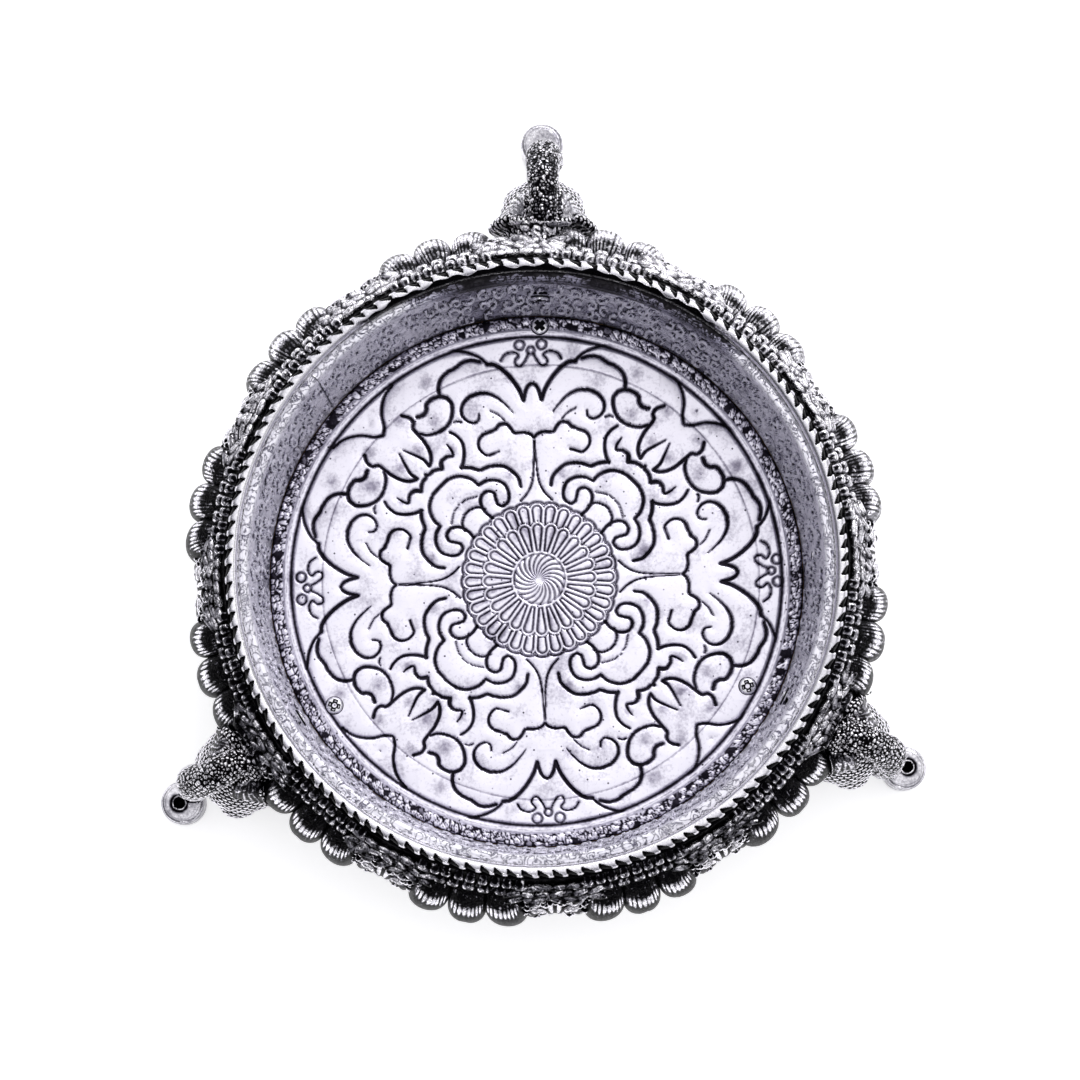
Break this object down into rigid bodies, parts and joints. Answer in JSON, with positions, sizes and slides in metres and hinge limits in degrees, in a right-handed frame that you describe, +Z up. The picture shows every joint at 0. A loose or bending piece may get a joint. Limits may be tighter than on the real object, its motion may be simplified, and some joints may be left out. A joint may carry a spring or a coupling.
{
  "type": "urli bowl",
  "caption": "Shallow round ornamental bowl with a lotus-relief wall and rope rim, lined with an embossed hoop and floor, standing on elephant heads with trunk legs.",
  "frame": {"origin": "centre of the board's flat underside, on the bowl's axis; the three feet stand lower", "axes": "+Z up along the bowl's axis, out of its mouth; +Y towards the back elephant, which is a few degrees off it"},
  "size_m": [0.2672, 0.2832, 0.0711],
  "materials": {
    "cast_metal": "cast white metal, oxidised black in the hollows and burnished on the high points",
    "rope_metal": "burnished white metal",
    "hoop_metal": "embossed sheet, dull grey",
    "floor_metal": "embossed sheet, bright with dark grooves",
    "steel": "bright zinc plate",
    "board": "plain board, unfinished"
  },
  "bodies": {
    "root": {"cast_wall": "cast_metal", "rope_rim": "rope_metal", "inner_hoop": "hoop_metal", "floor_sheet": "floor_metal", "base_board": "board", "hoop_rivet": "steel", "elephant_back": "cast_metal", "elephant_left": "cast_metal", "elephant_right": "cast_metal", "floor_screw_back": "steel", "floor_screw_left": "steel", "floor_screw_right": "steel", "wall_screw_back": "steel", "wall_screw_left": "steel", "wall_screw_right": "steel"}
  },
  "joints": []
}
